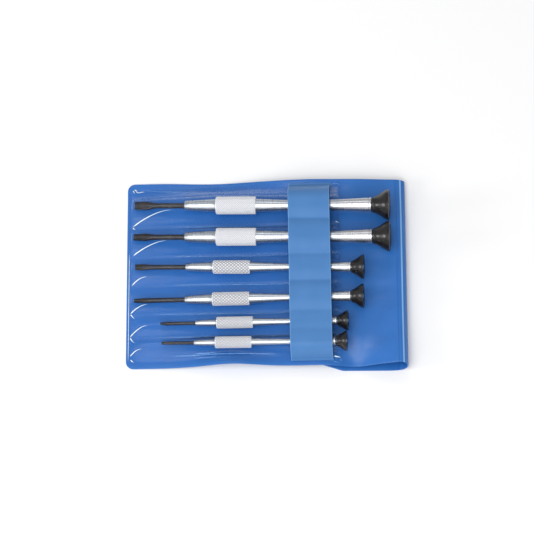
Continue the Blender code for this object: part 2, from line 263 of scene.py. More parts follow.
def new_material(name, colour, roughness, metallic=0.0):
    made = bpy.data.materials.new(name)
    made.use_nodes = True
    shader = made.node_tree.nodes["Principled BSDF"]
    shader.inputs["Base Color"].default_value = (*colour, 1.0)
    shader.inputs["Roughness"].default_value = roughness
    shader.inputs["Metallic"].default_value = metallic
    return made, made.node_tree, shader


def noise_texture(tree, size, stretch=(1, 1, 1), detail=3.0):
    """Noise with features of this size in metres, drawn out along an axis by a stretch below 1."""
    place = tree.nodes.new("ShaderNodeTexCoord")
    mapping = tree.nodes.new("ShaderNodeMapping")
    mapping.inputs["Scale"].default_value = [1 / size * k for k in stretch]
    texture = tree.nodes.new("ShaderNodeTexNoise")
    texture.inputs["Scale"].default_value = 1.0
    texture.inputs["Detail"].default_value = detail
    tree.links.new(place.outputs["Object"], mapping.inputs["Vector"])
    tree.links.new(mapping.outputs["Vector"], texture.inputs["Vector"])
    return texture.outputs["Fac"]


def to_range(tree, value, low, high, start=0.3, end=0.7):
    node = tree.nodes.new("ShaderNodeMapRange")
    node.inputs["From Min"].default_value = start
    node.inputs["From Max"].default_value = end
    node.inputs["To Min"].default_value = low
    node.inputs["To Max"].default_value = high
    tree.links.new(value, node.inputs["Value"])
    return node.outputs["Result"]


def two_colours(tree, value, first, second, start=0.3, end=0.7):
    ramp = tree.nodes.new("ShaderNodeValToRGB")
    ramp.color_ramp.elements[0].position = start
    ramp.color_ramp.elements[0].color = (*first, 1.0)
    ramp.color_ramp.elements[1].position = end
    ramp.color_ramp.elements[1].color = (*second, 1.0)
    tree.links.new(value, ramp.inputs["Fac"])
    return ramp.outputs["Color"]


def attribute(tree, name):
    node = tree.nodes.new("ShaderNodeAttribute")
    node.attribute_name = name
    return node.outputs["Fac"]


def mixed(tree, share, first, second):
    """Blend of a colour output with a plain colour, by a share of the second."""
    node = tree.nodes.new("ShaderNodeMix")
    node.data_type = "RGBA"
    tree.links.new(share, node.inputs[0])
    tree.links.new(first, node.inputs[6])
    node.inputs[7].default_value = (*second, 1.0)
    return node.outputs[2]


def add_bump(tree, shader, value, height, strength=1.0, below=None):
    bump = tree.nodes.new("ShaderNodeBump")
    bump.inputs["Distance"].default_value = height
    bump.inputs["Strength"].default_value = strength
    tree.links.new(value, bump.inputs["Height"])
    if below is not None:
        tree.links.new(below, bump.inputs["Normal"])
    tree.links.new(bump.outputs["Normal"], shader.inputs["Normal"])
    return bump.outputs["Normal"]


def pvc(name, light, dark, roughness, gloss):
    """Soft PVC sheet: slightly uneven colour, with a fine pebbled grain, and a painted highlight in pale
    blue along the fold and the strap's cut edges.
    """
    made, tree, shader = new_material(name, light, roughness)
    shader.inputs["Specular IOR Level"].default_value = gloss
    blotches = two_colours(tree, noise_texture(tree, 9 * MM, detail=2.0), dark, light)
    # Painted highlight: pale blue mixed into the colour along the fold's line and the strap's cut edges
    colour = mixed(tree, attribute(tree, "whitening"), blotches, (0.3, 0.58, 0.92))
    tree.links.new(colour, shader.inputs["Base Color"])
    scuffs = noise_texture(tree, 2.2 * MM, stretch=(0.5, 1, 1))
    tree.links.new(to_range(tree, scuffs, roughness - 0.05, roughness + 0.08), shader.inputs["Roughness"])
    flow = add_bump(tree, shader, noise_texture(tree, 3.0 * MM, stretch=(0.4, 1, 1)), 0.05 * MM, 0.5)
    add_bump(tree, shader, noise_texture(tree, 0.28 * MM, detail=2.0), 0.012 * MM, 0.6, below=flow)
    return made


def clear_film(name):
    """Thin clear film: see-through, with a gloss that grows towards grazing angles."""
    made, tree, shader = new_material(name, (0.9, 0.95, 1.0), 0.1)
    tree.nodes.remove(shader)
    clear = tree.nodes.new("ShaderNodeBsdfTransparent")
    clear.inputs["Color"].default_value = (0.965, 0.98, 0.995, 1.0)
    gloss = tree.nodes.new("ShaderNodeBsdfGlossy")
    gloss.inputs["Color"].default_value = (1.0, 1.0, 1.0, 1.0)
    facing = tree.nodes.new("ShaderNodeLayerWeight")
    facing.inputs["Blend"].default_value = 0.5
    grazing = tree.nodes.new("ShaderNodeMath")
    grazing.operation = "POWER"
    grazing.inputs[1].default_value = 4.0
    blend = tree.nodes.new("ShaderNodeMixShader")
    tree.links.new(to_range(tree, noise_texture(tree, 3 * MM), 0.15, 0.22), gloss.inputs["Roughness"])
    strings = noise_texture(tree, 0.9 * MM, stretch=(0.03, 1, 1))
    add_bump(tree, gloss, strings, 0.04 * MM, 0.5)
    tree.links.new(facing.outputs["Facing"], grazing.inputs[0])
    share = to_range(tree, grazing.outputs["Value"], 0.006, 0.35, 0.0, 1.0)
    tree.links.new(share, blend.inputs["Fac"])
    tree.links.new(clear.outputs["BSDF"], blend.inputs[1])
    tree.links.new(gloss.outputs["BSDF"], blend.inputs[2])
    tree.links.new(blend.outputs["Shader"], tree.nodes["Material Output"].inputs["Surface"])
    return made


def film_highlight_paint(name, colour, least, most):
    """Painted highlight on the film: a pale, nearly opaque colour over the clear film along a fold or seam,
    patchy, between the least and the most of it.
    """
    made, tree, shader = new_material(name, colour, 0.2)
    clear = tree.nodes.new("ShaderNodeBsdfTransparent")
    blend = tree.nodes.new("ShaderNodeMixShader")
    patches = noise_texture(tree, 0.7 * MM, detail=2.0)
    tree.links.new(to_range(tree, patches, least, most, 0.35, 0.65), blend.inputs["Fac"])
    tree.links.new(clear.outputs["BSDF"], blend.inputs[1])
    tree.links.new(shader.outputs["BSDF"], blend.inputs[2])
    tree.links.new(blend.outputs["Shader"], tree.nodes["Material Output"].inputs["Surface"])
    return made


def turned_metal(name, light, dark, roughness, groove):
    """Lathe-turned metal: fine rings round X, a little unevenly bright."""
    made, tree, shader = new_material(name, light, roughness, 1.0)
    rings = noise_texture(tree, groove, stretch=(1, 0.02, 0.02), detail=2.0)
    tree.links.new(two_colours(tree, rings, dark, light, 0.25, 0.75), shader.inputs["Base Color"])
    tree.links.new(to_range(tree, rings, roughness - 0.05, roughness + 0.07), shader.inputs["Roughness"])
    add_bump(tree, shader, rings, 0.0006 * MM, 0.3)
    return made


def knurled_metal(name, light, dark, groove):
    """The matt, whitish grip: its pyramids are in the mesh, fine scratches here, and painted shade darkens
    the colour towards the bottoms of its valleys.
    """
    made, tree, shader = new_material(name, light, 0.4, 0.1)
    marks = noise_texture(tree, 0.5 * MM)
    # Painted shade: the colour goes darker towards the bottoms of the knurl's valleys
    painted_valley_shade = to_range(tree, attribute(tree, "groove"), 0.0, 1.0, 0.42, 0.95)
    colour = mixed(tree, painted_valley_shade, two_colours(tree, marks, dark, light), groove)
    tree.links.new(colour, shader.inputs["Base Color"])
    tree.links.new(to_range(tree, marks, 0.34, 0.46), shader.inputs["Roughness"])
    return made


def blackened_steel(name):
    """Blued tool steel: near black, with brownish patches and faint grinding marks along the blade."""
    made, tree, shader = new_material(name, (0.04, 0.036, 0.04), 0.36, 0.6)
    patches = noise_texture(tree, 2.5 * MM)
    colour = two_colours(tree, patches, (0.016, 0.014, 0.018), (0.042, 0.036, 0.038))
    tree.links.new(colour, shader.inputs["Base Color"])
    grinding = noise_texture(tree, 0.3 * MM, stretch=(0.08, 1, 1))
    tree.links.new(to_range(tree, grinding, 0.32, 0.42), shader.inputs["Roughness"])
    add_bump(tree, shader, grinding, 0.003 * MM, 0.4)
    return made


def black_plastic(name):
    """Moulded black plastic, semi-gloss, with a fine satin skin and a few lighter rubbed patches."""
    made, tree, shader = new_material(name, (0.012, 0.011, 0.011), 0.3)
    shader.inputs["Specular IOR Level"].default_value = 0.5
    rubbed = noise_texture(tree, 1.8 * MM)
    colour = two_colours(tree, rubbed, (0.006, 0.005, 0.005), (0.013, 0.011, 0.011))
    tree.links.new(colour, shader.inputs["Base Color"])
    tree.links.new(to_range(tree, rubbed, 0.24, 0.27), shader.inputs["Roughness"])
    add_bump(tree, shader, noise_texture(tree, 0.25 * MM, detail=2.0), 0.001 * MM, 0.3)
    return made


# Mesh building


def add_attribute(item, name, values):
    item.data.attributes.new(name, "FLOAT", "POINT").data.foreach_set("value", values)


def mesh_object(name, points, faces, colours, matrix=None, face_colours=None, sharp=32):
    """A piece shaded smooth with its sharper edges kept; face_colours picks each face's material."""
    mesh = bpy.data.meshes.new(name)
    mesh.from_pydata(points, [], faces)
    for colour in colours:
        mesh.materials.append(colour)
    if face_colours:
        mesh.polygons.foreach_set("material_index", face_colours)
    mesh.shade_smooth()
    mesh.set_sharp_from_angle(angle=math.radians(sharp))
    item = bpy.data.objects.new(name, mesh)
    bpy.context.collection.objects.link(item)
    if matrix is not None:
        item.matrix_world = matrix
    return item


def grid_faces(rows, columns):
    faces = []
    for j in range(rows - 1):
        for k in range(columns - 1):
            a = j * columns + k
            faces.append((a, a + columns, a + columns + 1, a + 1))
    return faces


def slab(name, rows, thickness, colour, offset=1.0, edge=0.0, whitening=None, even=True):
    """A closed sheet from rows of points, on its lower face with offset 1 and in its middle with offset 0.

    Its rim is rounded by edge, the share of a painted highlight is given by row, and even keeps its
    thickness at sharp bends."""
    points = [point for row in rows for point in row]
    item = mesh_object(name, points, grid_faces(len(rows), len(rows[0])), [colour], sharp=50)
    if whitening:
        add_attribute(item, "whitening", [value for value in whitening for _ in rows[0]])
    solidify = item.modifiers.new("thickness", "SOLIDIFY")
    solidify.thickness = thickness
    solidify.offset = offset
    solidify.use_even_offset = even
    if edge:
        bevel = item.modifiers.new("rim", "BEVEL")
        bevel.width = edge
        bevel.segments = 2
        bevel.limit_method = "ANGLE"
        bevel.angle_limit = math.radians(60)
    apply_modifiers(item)
    return item


def apply_modifiers(item):
    graph = bpy.context.evaluated_depsgraph_get()
    final = bpy.data.meshes.new_from_object(item.evaluated_get(graph))
    item.modifiers.clear()
    item.data = final
    return item


def lathe(name, rings, steps, colours, matrix, groups=None):
    """A turned solid about X from rings (x, radius, dip, phase), the first and last of them on the axis.

    A ring with a dip has every other point lowered by it, which makes the pyramids of a knurl, and the point
    attribute "groove" says how deep each point lies, as a share of the deepest tooth's height; groups gives
    the material of the faces that follow each ring."""
    points, faces, face_colours, grooves = [(rings[0][0], 0, 0)], [], [], [0.0]
    for x, radius, dip, phase in rings[1:-1]:
        for k in range(steps):
            angle = math.tau * k / steps
            low = dip > 0 and (k + phase) % 2 == 0
            r = radius - (dip if low else 0)
            points.append((x, r * math.cos(angle), r * math.sin(angle)))
            grooves.append(dip / DEEPEST_TOOTH if low else 0.0)
    points.append((rings[-1][0], 0, 0))
    grooves.append(0.0)
    last = len(points) - 1
    for k in range(steps):
        after = (k + 1) % steps
        faces.append((0, 1 + after, 1 + k))
        faces.append((last, last - steps + k, last - steps + after))
        face_colours += [0, 0]
    for j in range(len(rings) - 3):
        lower, upper = rings[j + 1], rings[j + 2]
        knurled = lower[2] > 0 and upper[2] > 0
        group = groups[j + 1] if groups else 0
        for k in range(steps):
            after = (k + 1) % steps
            a, b = 1 + j * steps + k, 1 + j * steps + after
            c, d = b + steps, a + steps
            if not knurled:
                faces.append((a, b, c, d))
                face_colours.append(group)
            elif (k + lower[3]) % 2 == 0:
                faces += [(a, b, c), (a, c, d)]
                face_colours += [group, group]
            else:
                faces += [(a, b, d), (b, c, d)]
                face_colours += [group, group]
    item = mesh_object(name, points, faces, colours, matrix, face_colours)
    add_attribute(item, "groove", grooves)
    return item


def plain(x, radius):
    return (x, radius, 0.0, 0)


# The wallet's sheet


def wave(x, y):
    """Rise of the soft sheet at a place, over its even shape."""
    total = RIPPLE * noise.noise(Vector((x / RIPPLE_LENGTH, y / RIPPLE_LENGTH, 3.7)))
    for side, crest, half_length, height, reach in EDGE_WAVES:
        inward = HALF_WIDTH - side * y
        near_edge = smooth(1 - inward / (reach * MM))
        total += height * MM * math.exp(-(((x / MM - crest) / half_length) ** 2)) * near_edge
    for at_x, at_y, length, width, height in DENTS:
        far = ((x / MM - at_x) / length) ** 2 + ((y / MM - at_y) / width) ** 2
        total += height * MM * math.exp(-far)
    return total


def sheet_line(s):
    """The sheet's middle line at a distance from its left edge: place, normal and share of the waves."""
    if s <= FOLD_START:
        past = s - BORDER
        if past <= -CREASE_BLEND:
            rise, tilt = 0.0, 0.0
        elif past < CREASE_BLEND:
            rise = math.tan(LEAN) * (past + CREASE_BLEND) ** 2 / (4 * CREASE_BLEND)
            tilt = LEAN * (past + CREASE_BLEND) / (2 * CREASE_BLEND)
        else:
            rise, tilt = past * math.sin(LEAN), LEAN
        along = past * math.cos(LEAN) if past > CREASE_BLEND else past
        return CREASE + Vector((along, 0, rise)), Vector((-math.sin(tilt), 0, math.cos(tilt))), 1.0
    if s <= FLAP_START:
        angle = math.pi / 2 + LEAN - (s - FOLD_START) / FOLD_RADIUS
        outward = Vector((math.cos(angle), 0, math.sin(angle)))
        return FOLD_CENTRE + FOLD_RADIUS * outward, outward, (1 + math.sin(angle)) / 2
    return Vector((FOLD_CENTRE.x - (s - FLAP_START), 0, SHEET / 2)), Vector((0, 0, -1)), 0.0


def on_sheet(s, y, h):
    """The point at height h over the sheet's upper face."""
    centre, normal, share = sheet_line(s)
    point = centre + normal * (SHEET / 2 + h)
    askew = FLAP_SHIFT * smooth((s - FOLD_START) / (16 * MM))
    return Vector((point.x, y - askew, point.z + share * wave(point.x, y)))


def rounded_half_width(distance, radius, half_width):
    if distance >= radius:
        return half_width
    return half_width - radius + math.sqrt(max(0.0, radius**2 - (radius - distance) ** 2))


def flap_half_width(distance):
    straight = HALF_WIDTH - FLAP_TAPER * max(0.0, distance - FLAP_FULL_WIDTH_LENGTH)
    return rounded_half_width(FLAP_LENGTH - distance, FLAP_CORNER_RADIUS, straight)


def sheet_half_width(s):
    if s <= FLAP_START:
        return rounded_half_width(s, CORNER_RADIUS, HALF_WIDTH)
    return flap_half_width(s - FLAP_START)


def rounded_ends(radius):
    """Distances from an end that space points evenly round its corner."""
    return [radius * (1 - math.cos(math.radians(a))) for a in range(0, 91, 15)]


def across_steps():
    """Shares of the half width, closer together near the edges, where the sheet waves."""
    inner = spread(-0.8, 0.8, 40)
    low = spread(-1.0, -0.8, 12)[:-1]
    return low + inner + [-k for k in reversed(low)]


def sheet_strip(name, stations, colour):
    rows = []
    for s in stations:
        half = sheet_half_width(s)
        rows.append([on_sheet(s, share * half, -SHEET / 2) for share in across_steps()])
    # Painted highlight: a pale line across the sheet at one turn of the fold
    crease = fold_distance(PAINTED_HIGHLIGHT_TURN)
    whitening = [math.exp(-(((s - crease) / PAINTED_HIGHLIGHT_WIDTH) ** 2)) for s in stations]
    return slab(name, rows, SHEET, colour, offset=0.0, edge=RIM_ROUNDING, whitening=whitening)


def fold_distance(degrees):
    """Distance along the sheet to a place round the fold."""
    return FOLD_START + FOLD_RADIUS * (math.pi / 2 + LEAN - math.radians(degrees))


def make_sheet(colour):
    """The sheet in five pieces: the pocket side, three bends round the hinge lines, and the flap."""
    stations = rounded_ends(CORNER_RADIUS) + spread(CORNER_RADIUS, FOLD_START, 90)[1:]
    back = sheet_strip("wallet_back_sheet", stations, colour)
    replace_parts(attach(back, "pouch"), "back_sheet")
    turns = [math.degrees(math.pi / 2 + LEAN), 30, -30, -90]
    replaced = ["fold_strip_upper", "fold_strip_lower", None]
    for k, (start, end) in enumerate(zip(turns, turns[1:])):
        stations = spread(fold_distance(start), fold_distance(end), 14)
        bend = sheet_strip(f"wallet_fold_{k + 1}", stations, colour)
        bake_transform(bend)
        if replaced[k]:
            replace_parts(bend, replaced[k])
    end = FLAP_START + FLAP_LENGTH
    corner = [end - d for d in reversed(rounded_ends(FLAP_CORNER_RADIUS))]
    stations = spread(FLAP_START, end - FLAP_CORNER_RADIUS, 40) + corner[1:]
    flap = sheet_strip("wallet_flap", stations, colour)
    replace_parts(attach(flap, "flap"), "closing_flap")


# The screwdrivers


def driver_axis(number):
    """The screwdriver's axis as a matrix, with its origin at the front of the handle."""
    swivel = JOINTS[f"cap_{number}_swivel"]
    along = Vector(swivel["axis"]).normalized()
    up = (Vector((0, 0, 1)) - along * along.z).normalized()
    origin = Vector(swivel["pos_m"]) - along * DRIVERS[number - 1][0]["cap"][0] * MM
    turn = Matrix((along, up.cross(along), up)).transposed()
    return Matrix.Translation(origin) @ turn.to_4x4()


def knurl_rings(start, end, radius, size):
    pitch = math.tau * radius / (2 * size["teeth"])
    count = 2 * max(1, round((end - start) / pitch / 2))
    depth = size["tooth_depth"] * MM
    return [(x, radius, depth, k % 2) for k, x in enumerate(spread(start, end, count))]


def shaft_rings(start, end, first, waist, waist_at, last):
    """The shaft narrows in a long taper to its waist and widens again towards the cap."""
    rings = []
    for x in spread(start, end, 16):
        if x < waist_at:
            share = (waist_at - x) / (waist_at - start)
            rings.append(plain(x, waist + (first - waist) * share**1.25))
        else:
            share = (x - waist_at) / (end - waist_at)
            rings.append(plain(x, waist + (last - waist) * share**1.15))
    return rings


def handle_rings(size):
    nose_front, nose_back = (r * MM for r in size["nose"])
    knurl_start, knurl_end, knurl = (v * MM for v in size["knurl"])
    shaft, waist, waist_at = (v * MM for v in size["shaft"])
    end, end_radius = (v * MM for v in size["end"])
    blade_bore = size["blade_radius"] * MM + 0.05 * MM
    pin_bore = size["pin_radius"] * MM + FIT_GAP
    edge = 0.22 * MM
    collar = end - 1.4 * MM
    groove = end_radius - 0.3 * MM
    nose = spread(edge, knurl_start - edge, 6)
    rings = [plain(BLADE_DEPTH + FIT_GAP, 0), plain(BLADE_DEPTH + FIT_GAP, blade_bore)]
    rings += [plain(edge, blade_bore), plain(0, blade_bore + edge)]
    rings += [plain(0, nose_front - edge), plain(edge * 0.3, nose_front - edge * 0.3)]
    rings += [plain(x, mix(nose_front, nose_back, x / knurl_start)) for x in nose]
    rings += [plain(knurl_start, nose_back + edge * 0.4), plain(knurl_start, knurl - KNURL_CHAMFER)]
    first_knurl = len(rings)
    rings += knurl_rings(knurl_start + KNURL_CHAMFER, knurl_end - KNURL_CHAMFER, knurl, size)
    last_knurl = len(rings)
    rings += [plain(knurl_end, knurl - KNURL_CHAMFER), plain(knurl_end, shaft)]
    rings += shaft_rings(knurl_end + edge, collar, shaft, waist, waist_at, end_radius - 0.12 * MM)
    rings += [plain(collar + 0.05 * MM, groove), plain(collar + 0.3 * MM, groove)]
    rings += [plain(collar + 0.35 * MM, end_radius - 0.05 * MM), plain(collar + 0.5 * MM, end_radius)]
    rings += [plain(end - edge, end_radius), plain(end, end_radius - edge), plain(end, pin_bore)]
    rings += [plain(end - PIN_DEPTH - FIT_GAP, pin_bore), plain(end - PIN_DEPTH - FIT_GAP, 0)]
    groups = [1 if first_knurl - 1 <= k < last_knurl else 0 for k in range(len(rings))]
    return rings, groups


def make_handle(number, size, colours, matrix):
    rings, groups = handle_rings(size)
    slots = [colours["aluminium"], colours["knurl"]]
    handle = lathe(f"handle_{number}", rings, 2 * size["teeth"], slots, matrix, groups)
    for face in handle.data.polygons:
        face.use_smooth = face.material_index == 0
    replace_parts(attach(handle, f"screwdriver_{number}"), f"driver_{number}_handle")


def head_seat(size):
    """Bottom of the dish in the cap's end, where the pin's head sits."""
    start, end = size["cap"][:2]
    return (end - DISH_SHARE * (end - start)) * MM


def cap_profile(size):
    """A bell that flares from its neck to a thin beaded rim, with a dished end round the pin."""
    start, end, neck, rim_radius, rim = (v * MM for v in size["cap"])
    bore = size["pin_radius"] * MM + FIT_GAP
    seat = head_seat(size)
    bead = rim / 3
    profile = [(seat, bore), (start, bore), (start, neck - 0.2 * MM), (start + 0.2 * MM, neck)]
    for share in spread(0.06, 1 - 1.15 * rim / (end - start), 20):
        profile.append((mix(start, end, share), mix(neck, rim_radius, smooth(share))))
    flare_end, flare_radius = profile[-1]
    profile.append((flare_end + 0.05 * MM, flare_radius - 0.1 * MM))
    profile.append((flare_end + 0.2 * MM, flare_radius - 0.08 * MM))
    for angle in spread(110, 0, 8):
        turn = math.radians(angle)
        profile.append((end - bead + bead * math.cos(turn), rim_radius - bead + bead * math.sin(turn)))
    for share in spread(0.0, 1.0, 8):
        depth = (end - seat) * smooth(share)
        profile.append((end - depth, mix(rim_radius * 0.86, rim_radius * 0.4, share)))
    return profile


def make_cap(number, size, colours, matrix):
    """The swivel cap, as a closed ring of revolution round its pin."""
    cap = revolve(f"swivel_cap_{number}", cap_profile(size), 72, colours["cap"], matrix)
    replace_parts(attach(cap, f"cap_{number}"), f"driver_{number}_swivel_cap")


def revolve(name, profile, steps, colour, matrix):
    """A ring-shaped solid about X from a closed profile of (x, radius)."""
    points, faces = [], []
    for x, radius in profile:
        for k in range(steps):
            angle = math.tau * k / steps
            points.append((x, radius * math.cos(angle), radius * math.sin(angle)))
    for j in range(len(profile)):
        below, above = j * steps, (j + 1) % len(profile) * steps
        for k in range(steps):
            after = (k + 1) % steps
            faces.append((below + k, below + after, above + after, above + k))
    return mesh_object(name, points, faces, [colour], matrix)


def make_pin(number, size, colours, matrix):
    """The rivet that the cap turns on, with a domed head in the cap's dish."""
    end = size["end"][0] * MM
    shank = size["pin_radius"] * MM
    head = shank * PIN_HEAD
    seat = head_seat(size) + FIT_GAP
    rings = [plain(end - PIN_DEPTH, 0), plain(end - PIN_DEPTH, shank), plain(seat, shank), plain(seat, head)]
    for angle in range(0, 90, 15):
        turn = math.radians(angle)
        rings.append(plain(seat + 0.15 * MM + 0.45 * MM * math.sin(turn), head * math.cos(turn)))
    rings.append(plain(seat + 0.6 * MM, 0))
    pin = lathe(f"cap_pin_{number}", rings, 32, [colours["steel"]], matrix)
    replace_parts(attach(pin, f"screwdriver_{number}"), f"driver_{number}_cap_pin")


def blade_sections(radius, width, thickness, length, flat):
    """Half width, half thickness and squareness along the blade, in mm from the handle's front."""
    shoulder = length - flat
    return [
        (BLADE_DEPTH / MM, radius, radius, 0.0),
        (-(shoulder - 3.2), radius, radius, 0.0),
        (-(shoulder - 1.8), radius * 1.02, radius * 0.99, 0.05),
        (-(shoulder - 0.4), mix(radius, width / 2, 0.45), radius * 0.9, 0.4),
        (-(shoulder + 0.8), mix(radius, width / 2, 0.92), radius * 0.74, 0.85),
        (-(shoulder + 1.9), width / 2, radius * 0.62, 1.0),
        (-(length - 2.2), width / 2, mix(thickness / 2, radius * 0.62, 0.42), 1.0),
        (-(length - 0.1), width / 2 - 0.02, thickness / 2, 1.0),
        (-length, width / 2 - 0.1, thickness / 2 - 0.06, 1.0),
    ]


def blade_ring(along, half_width, half_thickness, square, steps):
    """A superellipse: round where square is 0, and nearly a rectangle where it is 1."""
    power = mix(1.0, 0.16, square)
    ring = []
    for k in range(steps):
        angle = math.tau * (k + 0.5) / steps
        y, z = math.cos(angle), math.sin(angle)
        y, z = math.copysign(abs(y) ** power, y), math.copysign(abs(z) ** power, z)
        ring.append((along * MM, half_width * y * MM, half_thickness * z * MM))
    return ring


def make_blade(number, spec, colours, matrix):
    size, width, thickness, length, flat, roll = spec
    steps = 40
    points, faces = [], []
    sections = blade_sections(size["blade_radius"], width, thickness, length, flat)
    for section in sections:
        points += blade_ring(*section, steps)
    for j in range(len(sections) - 1):
        for k in range(steps):
            a, b = j * steps + k, j * steps + (k + 1) % steps
            faces.append((a, a + steps, b + steps, b))
    faces.append(tuple(range(steps)))
    faces.append(tuple(reversed(range(len(points) - steps, len(points)))))
    rolled = matrix @ Matrix.Rotation(math.radians(roll), 4, "X")
    blade = mesh_object(f"blade_{number}", points, faces, [colours["blackened"]], rolled, sharp=28)
    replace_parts(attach(blade, f"screwdriver_{number}"), f"driver_{number}_blade")


# The clear pockets and the strap


def axis_in_section(number, s):
    """(y, height over the sheet's upper face) of a screwdriver's axis, and the distance along it (mm)."""
    matrix = driver_axis(number)
    origin, along = matrix.translation, matrix.to_3x3() @ Vector((1, 0, 0))
    centre, normal, _ = sheet_line(max(s, BORDER + CREASE_BLEND))
    forward = Vector((math.cos(LEAN), 0, math.sin(LEAN)))
    place = centre + forward * min(0.0, s - BORDER - CREASE_BLEND)
    distance = (place - origin).dot(forward) / along.dot(forward)
    point = origin + along * distance
    height = (point - place).dot(normal) - SHEET / 2
    return point.y, height, distance / MM


def clear_radius(spec, along):
    """Radius that the film keeps round the axis: tight from the tip to the knurl, and then straight."""
    size, width, _, length, _, _ = spec
    knurl_start, _, knurl = size["knurl"]
    cap_start, cap_end, neck, rim_radius, _ = size["cap"]
    share = (along + length) / (length + knurl_start - 0.6)
    radius = mix(width / 2, knurl, min(1.0, max(0.0, share)))
    if along > cap_start:
        radius = max(radius, mix(neck, rim_radius, smooth((along - cap_start) / (cap_end - cap_start))))
    return radius * MM + FILM_CLEARANCE


def tangent_angle(reach, rise, radius):
    """Angle on the circle round a screwdriver at which a straight flank touches it."""
    return math.atan2(-rise, reach) + math.acos(min(0.999, radius / math.hypot(reach, rise)))


def pocket_section(number, low, high, s, share):
    """(y, height) across a pocket: up one flank, over the screwdriver and down the other flank."""
    y0, z0, along = axis_in_section(number, s)
    radius = clear_radius(DRIVERS[number - 1], along)
    rise = z0 - FILM_LIFT
    start = math.pi - tangent_angle(y0 - low, rise, radius)
    end = tangent_angle(high - y0, rise, radius)
    crest, up, down = [], [], []
    for angle in spread(start, end, CREST_STEPS):
        crest.append((y0 + radius * math.cos(angle), rise + radius * math.sin(angle)))
    for t in spread(0.0, 1.0, FLANK_STEPS)[:-1]:
        sag = FLANK_SAG * math.sin(math.pi * t) ** 2
        up.append((mix(low, crest[0][0], t) + sag, mix(0, crest[0][1], t) - sag * 0.5))
        down.append((mix(high, crest[-1][0], t) - sag, mix(0, crest[-1][1], t) - sag * 0.5))
    return [(y, FILM_LIFT + max(0.0, z) * share) for y, z in up + crest + down[::-1]]


def closing_share(number, s):
    """How far the pocket has opened, from its welded left end to the blade's tip."""
    spec = DRIVERS[number - 1]
    _, _, along = axis_in_section(number, s)
    to_tip = -spec[3] - along
    tip_from_border = s / MM + to_tip - 1.6
    if to_tip <= 0.3:
        return 1.0
    u = max(0.0, min(1.0, (s / MM - 1.6) / max(0.5, tip_from_border - 0.3)))
    return math.sqrt(1 - (1 - u) ** 2)


@functools.lru_cache(maxsize=None)
def film_section(s):
    """(y, height over the sheet) across the wallet, from the film's bottom edge to its top one."""
    section = [(y, FILM_LIFT) for y in spread(-FILM_HALF_WIDTH, WELDS_Y[-1], 5)[:-1]]
    pockets = list(zip(range(1, 7), WELDS_Y, WELDS_Y[1:]))
    for number, high, low in reversed(pockets):
        low, high = low + WELD_HALF_WIDTH, high - WELD_HALF_WIDTH
        share = closing_share(number, s)
        for y, h in pocket_section(number, low, high, s, share):
            fine = noise.noise(Vector((s / (14 * MM), y / (1.1 * MM), number)))
            loose = smooth((h - FILM_LIFT) / (1.5 * MM)) * 0.1 * MM
            section.append((y, h + loose * fine))
        if number > 1:
            for k in range(1, WELD_STEPS):
                y = high + 2 * WELD_HALF_WIDTH * k / WELD_STEPS
                section.append((y, FILM_LIFT + WELD_RIDGE * (k % 2)))
    return section + [(y, FILM_LIFT) for y in spread(WELDS_Y[0], FILM_HALF_WIDTH, 5)[1:]]


def film_row(s):
    limit = min(FILM_HALF_WIDTH, sheet_half_width(s) - 0.6 * MM)
    return [on_sheet(s, y * limit / FILM_HALF_WIDTH, h) for y, h in film_section(s)]


def on_film(s, y, lift):
    """The point above the film's upper face."""
    section = film_section(s)
    height = FILM_LIFT
    for (y_0, h_0), (y_1, h_1) in zip(section, section[1:]):
        if y_0 <= y < y_1:
            height = mix(h_0, h_1, (y - y_0) / (y_1 - y_0))
    return on_sheet(s, y, height + FILM + lift)


def ridge(path, half_width, fade):
    """A raised fold along a path of (s, y), pointed at its ends; with fade it thins out along the path."""
    points, faces = [], []
    for k, (s, y) in enumerate(path):
        before, after = path[max(0, k - 1)], path[min(len(path) - 1, k + 1)]
        along = Vector((after[0] - before[0], after[1] - before[1])).normalized()
        t = k / (len(path) - 1)
        width = half_width * min(1.0, 0.1 + 12 * t, 0.1 + 12 * (1 - t))
        width *= (1 - t) ** 0.8 + 0.05 if fade else 1.0
        points.append(on_film(s - along.y * width, y + along.x * width, 0.01 * MM))
        points.append(on_film(s, y, 0.02 * MM + 0.3 * width))
        points.append(on_film(s + along.y * width, y - along.x * width, 0.01 * MM))
        points.append(on_film(s, y, -0.05 * MM))
    for k in range(len(path) - 1):
        for j in range(4):
            a, b = 4 * k + j, 4 * k + (j + 1) % 4
            faces.append((a, b, b + 4, a + 4))
    last = len(points)
    return points, faces + [(3, 2, 1, 0), (last - 4, last - 3, last - 2, last - 1)]


def ridges(name, paths, colour):
    """Several ridges as one piece, each given as (path, half width, fade)."""
    points, faces = [], []
    for path in paths:
        more_points, more_faces = ridge(*path)
        faces += [tuple(k + len(points) for k in face) for face in more_faces]
        points += more_points
    item = mesh_object(name, points, faces, [colour], sharp=60)
    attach(item, "pouch")


def crease_path(crease, steps, bend=1.0):
    """Points along a crease; with a bend above 1 it starts steep and levels out."""
    s_0, y_0, s_1, y_1 = (v * MM for v in crease)
    return [(mix(s_0, s_1, t), mix(y_0, y_1, 1 - (1 - t) ** bend)) for t in spread(0.0, 1.0, steps)]


def box_paths(s_0, s_1, y_0, y_1):
    """The four sides of a small weld."""
    corners = [(s_0, y_0), (s_1, y_0), (s_1, y_1), (s_0, y_1), (s_0, y_0)]
    sides = []
    for (a_s, a_y), (b_s, b_y) in zip(corners, corners[1:]):
        sides.append([(mix(a_s, b_s, t), mix(a_y, b_y, t)) for t in spread(0.0, 1.0, 5)])
    return sides


